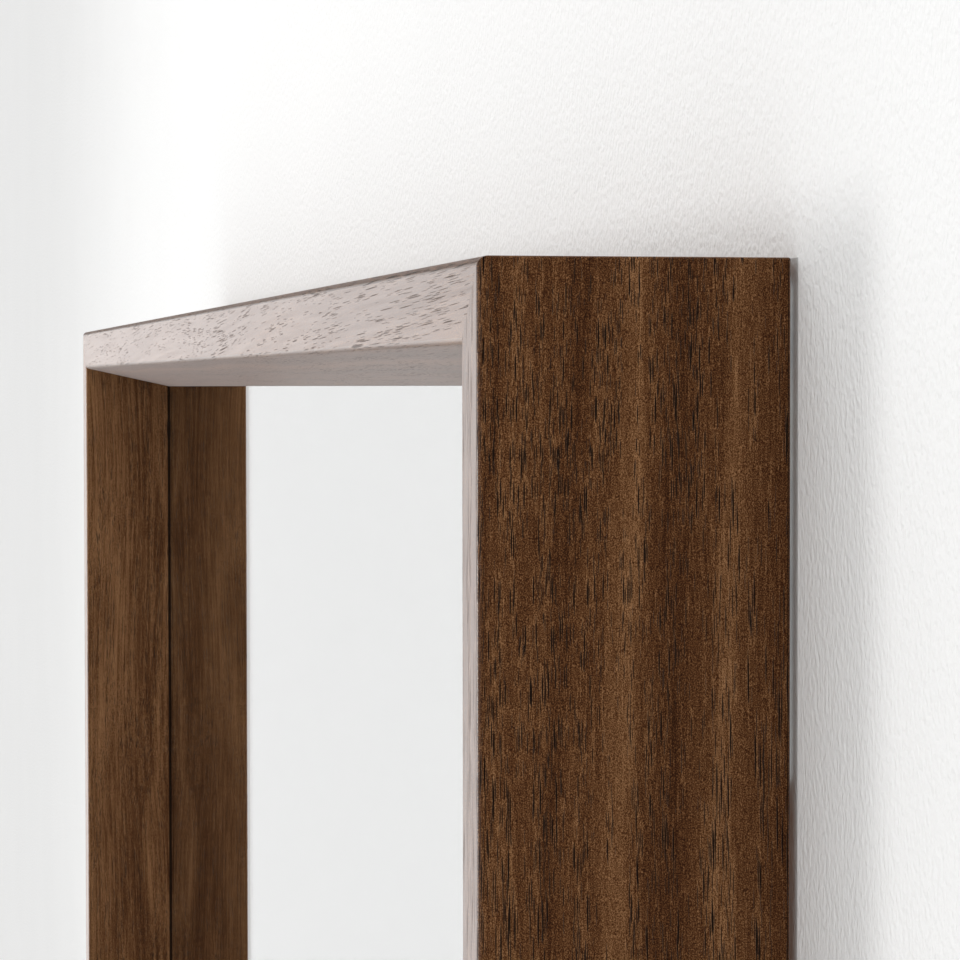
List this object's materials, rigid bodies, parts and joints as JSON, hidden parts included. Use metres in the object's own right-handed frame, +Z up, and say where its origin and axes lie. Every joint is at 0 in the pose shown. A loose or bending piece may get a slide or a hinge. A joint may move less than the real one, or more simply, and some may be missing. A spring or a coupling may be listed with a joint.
{
  "type": "wall mirror",
  "caption": "Wall mirror with a deep mitred walnut frame, sloping inner faces and a recessed silvered pane, hung by keyhole plates let into its back corners.",
  "frame": {"origin": "centre of the frame's back face, in the plane of the keyhole plates and midway between the keyholes", "axes": "+X to the right as one looks at the mirror, +Y into the wall, +Z up; the mirror looks along -Y"},
  "size_m": [0.65, 0.046, 0.65],
  "materials": {
    "walnut": "satin lacquer over open pores",
    "key_wood": "raw beech",
    "clear_glass": "polished float glass",
    "silvering": "silvered",
    "film": "woven backing film",
    "hardboard": "pressed hardboard",
    "black_rubber": "matt",
    "bright_steel": "zinc plated",
    "zinc_steel": "pressed, zinc plated",
    "felt": "pressed felt"
  },
  "bodies": {
    "root": {"back_panel": "hardboard", "bottom_rail": "walnut", "corner_key_bottom_left": "key_wood", "corner_key_bottom_right": "key_wood", "corner_key_top_left": "key_wood", "corner_key_top_right": "key_wood", "corner_plate_bottom_left": "zinc_steel", "corner_plate_bottom_right": "zinc_steel", "corner_plate_top_left": "zinc_steel", "corner_plate_top_right": "zinc_steel", "edge_spacers": "black_rubber", "left_stile": "walnut", "mirror_glass": "clear_glass", "plate_screws_bottom_left": "bright_steel", "plate_screws_bottom_right": "bright_steel", "plate_screws_top_left": "bright_steel", "plate_screws_top_right": "bright_steel", "retaining_points_bottom": "bright_steel", "retaining_points_left": "bright_steel", "retaining_points_right": "bright_steel", "retaining_points_top": "bright_steel", "right_stile": "walnut", "safety_film": "film", "setting_blocks": "black_rubber", "silver_coat": "silvering", "top_rail": "walnut", "wall_bumpers": "felt"}
  },
  "joints": []
}
